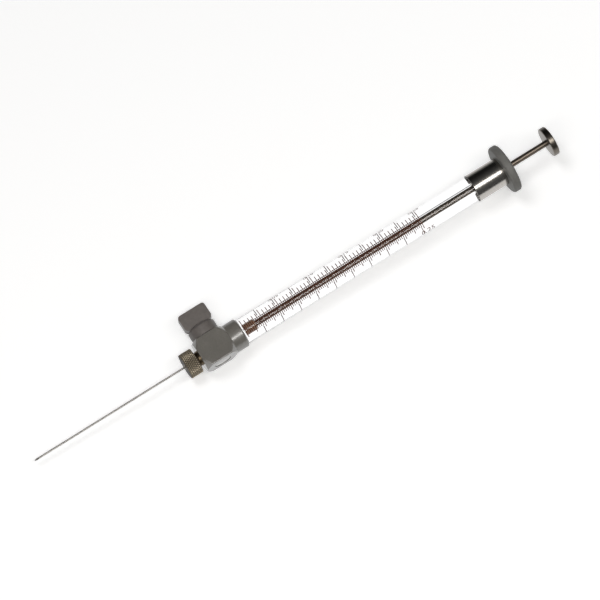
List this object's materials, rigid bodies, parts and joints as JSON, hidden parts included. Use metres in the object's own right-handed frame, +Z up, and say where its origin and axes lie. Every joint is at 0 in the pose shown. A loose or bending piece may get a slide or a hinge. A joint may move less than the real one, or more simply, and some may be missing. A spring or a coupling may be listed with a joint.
{
  "type": "microsyringe",
  "caption": "Slim glass microsyringe with fine scale, knurled needle nut, rotary shut-off valve with flat tab handle, round finger flange and thin steel plunger.",
  "frame": {"origin": "on the barrel's axis at the front face of the needle's nut, where the bare needle begins", "axes": "+X along the barrel from the needle to the plunger's button; +Y towards the valve's handle; +Z up, the side of the graduations, with the valve body's flat side resting below"},
  "size_m": [0.1767, 0.0207, 0.015],
  "materials": {
    "needle_steel": "drawn stainless tube",
    "turned_brass": "turned, nickel-plated",
    "nut_nickel": "knurled, dull nickel plate",
    "nose_brass": "turned, dull nickel plate",
    "seal_polymer": "soft white sealing plastic",
    "valve_polymer": "machined warm grey plastic, satin",
    "rotor_steel": "turned stainless",
    "o_ring_rubber": "black elastomer",
    "plug_polymer": "machined grey plastic",
    "handle_polymer": "moulded dark grey plastic, matt",
    "barrel_glass": "clear borosilicate",
    "scale_enamel": "fired brown enamel lines",
    "polished_steel": "mirror polished",
    "flange_polymer": "moulded dark grey plastic, matt",
    "guide_polymer": "white bearing plastic",
    "rod_steel": "ground stainless, bright",
    "tip_polymer": "filled sealing plastic, light brown"
  },
  "bodies": {
    "barrel": {"glass_barrel": "barrel_glass", "graduation_marks": "scale_enamel", "flange_sleeve": "polished_steel", "finger_flange": "flange_polymer", "rear_washer": "seal_polymer", "plunger_guide": "guide_polymer", "front_seal": "seal_polymer", "valve_body": "valve_polymer", "valve_seat": "seal_polymer", "valve_end_plug": "plug_polymer", "threaded_nose": "nose_brass", "needle_seal": "seal_polymer"},
    "valve": {"valve_handle": "handle_polymer", "valve_rotor": "rotor_steel", "handle_pin": "rotor_steel", "stem_o_ring": "o_ring_rubber"},
    "plunger": {"plunger_rod": "rod_steel", "plunger_tip": "tip_polymer", "plunger_button": "polished_steel"},
    "needle": {"needle_cannula": "needle_steel", "needle_hub": "turned_brass"},
    "nut": {"needle_nut": "nut_nickel"}
  },
  "joints": [
    {"name": "plunger_slide", "type": "slide", "parent": "barrel", "child": "plunger", "axis": [1, 0, 0], "range_m": [0, 0.065]},
    {"name": "valve_turn", "type": "hinge", "parent": "barrel", "child": "valve", "pos_m": [0.0101, 0, 0], "axis": [0, 1, 0], "range_deg": [0, 90]},
    {"name": "needle_slide", "type": "slide", "parent": "barrel", "child": "needle", "axis": [-1, 0, 0], "range_m": [0, 0.002]},
    {"name": "nut_turn", "type": "hinge", "parent": "needle", "child": "nut", "pos_m": [0.002, 0, 0], "axis": [-1, 0, 0], "range_deg": [0, 1441]}
  ],
  "couplings": [
    {"joint": "nut_turn", "follows": "needle_slide", "rad_per_m": 12566}
  ]
}
